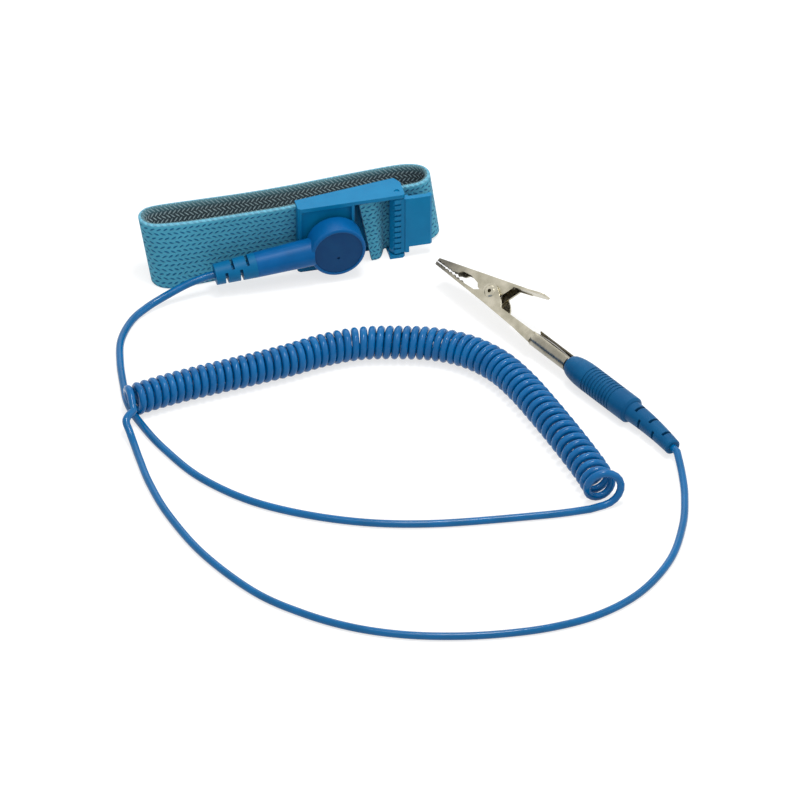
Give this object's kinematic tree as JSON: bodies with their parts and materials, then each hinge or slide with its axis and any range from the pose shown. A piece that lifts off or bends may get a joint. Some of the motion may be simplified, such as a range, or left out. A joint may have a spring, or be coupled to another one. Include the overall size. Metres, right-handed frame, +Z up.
{
  "type": "anti-static wrist strap",
  "caption": "Elastic anti-static wrist strap with a clamping buckle, snap connector, coiled grounding cord, banana plug and alligator clip, laid out flat.",
  "frame": {"origin": "centre of the wristband and snap connector's box, at its lowest level, on the surface that the strap lies on", "axes": "+X along the wristband towards the buckle's lever, +Y through the loop away from the snap connector, +Z up"},
  "size_m": [0.1563, 0.2045, 0.023],
  "materials": {
    "elastic_fabric": "knitted, conductive threads inside",
    "buckle_plastic": "moulded, semi-gloss",
    "housing_plastic": "moulded, semi-gloss",
    "boot_vinyl": "moulded vinyl, semi-gloss",
    "cord_jacket": "polyurethane jacket, glossy",
    "stainless_steel": "brushed",
    "nickel_plate": "nickel plated",
    "clip_steel": "nickel plated, stamped",
    "spring_steel": "bare",
    "resistor_body": "lacquered, tinned ends",
    "brass_crimp": "bare"
  },
  "bodies": {
    "lead": {"snap_head_housing": "housing_plastic", "snap_head_cover": "housing_plastic", "snap_socket": "nickel_plate", "limiting_resistor": "resistor_body", "resistor_crimp": "brass_crimp", "snap_cord_end": "cord_jacket", "snap_strain_relief": "boot_vinyl", "cord_to_snap": "cord_jacket", "coiled_cord": "cord_jacket", "cord_to_clip": "cord_jacket", "clip_strain_relief": "boot_vinyl", "plug_cord_end": "cord_jacket", "plug_boot": "boot_vinyl", "banana_plug_pin": "nickel_plate"},
    "snap_ring": {"snap_spring_ring": "spring_steel"},
    "wristband": {"elastic_band": "elastic_fabric", "buckle_body": "buckle_plastic", "skin_contact_plate": "stainless_steel", "snap_stud": "nickel_plate", "stud_rivet": "nickel_plate", "lever_pivot_pin": "buckle_plastic"},
    "lever": {"clamp_lever": "buckle_plastic"},
    "plug_spring": {"banana_leaf_spring": "spring_steel"},
    "clip": {"lower_jaw": "clip_steel", "jaw_pivot_rivet": "clip_steel", "jaw_spring": "spring_steel"},
    "upper_jaw": {"upper_jaw": "clip_steel"}
  },
  "joints": [
    {"name": "snap_swivel", "type": "hinge", "parent": "lead", "child": "snap_ring", "pos_m": [0.011, -0.0085, 0.0108], "axis": [0, 1, 0], "continuous": true},
    {"name": "snap_release", "type": "slide", "parent": "snap_ring", "child": "wristband", "axis": [0, 1, 0], "range_m": [0, 0.015], "deforming": ["snap_spring_ring"]},
    {"name": "lever_hinge", "type": "hinge", "parent": "wristband", "child": "lever", "pos_m": [0.031, -0.00172, 0.0115], "axis": [0, 0, -1], "range_deg": [0, 100]},
    {"name": "clip_turn", "type": "hinge", "parent": "lead", "child": "plug_spring", "pos_m": [0.0663, -0.0734, 0.0052], "axis": [0.4459, -0.8944, -0.0349], "continuous": true},
    {"name": "clip_pull_off", "type": "slide", "parent": "plug_spring", "child": "clip", "axis": [-0.4459, 0.8944, 0.0349], "range_m": [0, 0.013], "deforming": ["banana_leaf_spring"]},
    {"name": "jaw_hinge", "type": "hinge", "parent": "clip", "child": "upper_jaw", "pos_m": [0.05182, -0.03937, 0.00835], "axis": [0.5633, 0.3107, -0.7656], "range_deg": [0, 28], "stiffness_Nm_per_rad": 0.05, "springref_deg": -20.05, "deforming": ["jaw_spring"]}
  ]
}
